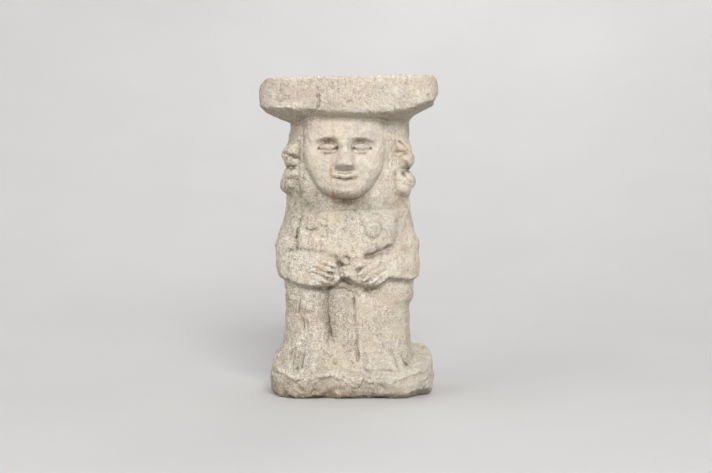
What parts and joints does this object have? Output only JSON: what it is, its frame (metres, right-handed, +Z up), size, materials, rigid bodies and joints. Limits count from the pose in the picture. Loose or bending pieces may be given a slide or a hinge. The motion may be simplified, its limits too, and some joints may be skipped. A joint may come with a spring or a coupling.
{
  "type": "stone figurine",
  "caption": "Carved stone figurine of a standing woman with folded arms who bears a broad flat slab on her head, on a low rough base.",
  "frame": {"origin": "middle of the bounding box at the height of the flat underside", "axes": "+Z up from the base to the slab, -Y the way the face looks, +X towards the figure's left hand"},
  "size_m": [0.2009, 0.153, 0.36],
  "materials": {
    "stone": "matt, weathered and pitted, with brown stains"
  },
  "bodies": {
    "root": {"figure": "stone"}
  },
  "joints": []
}
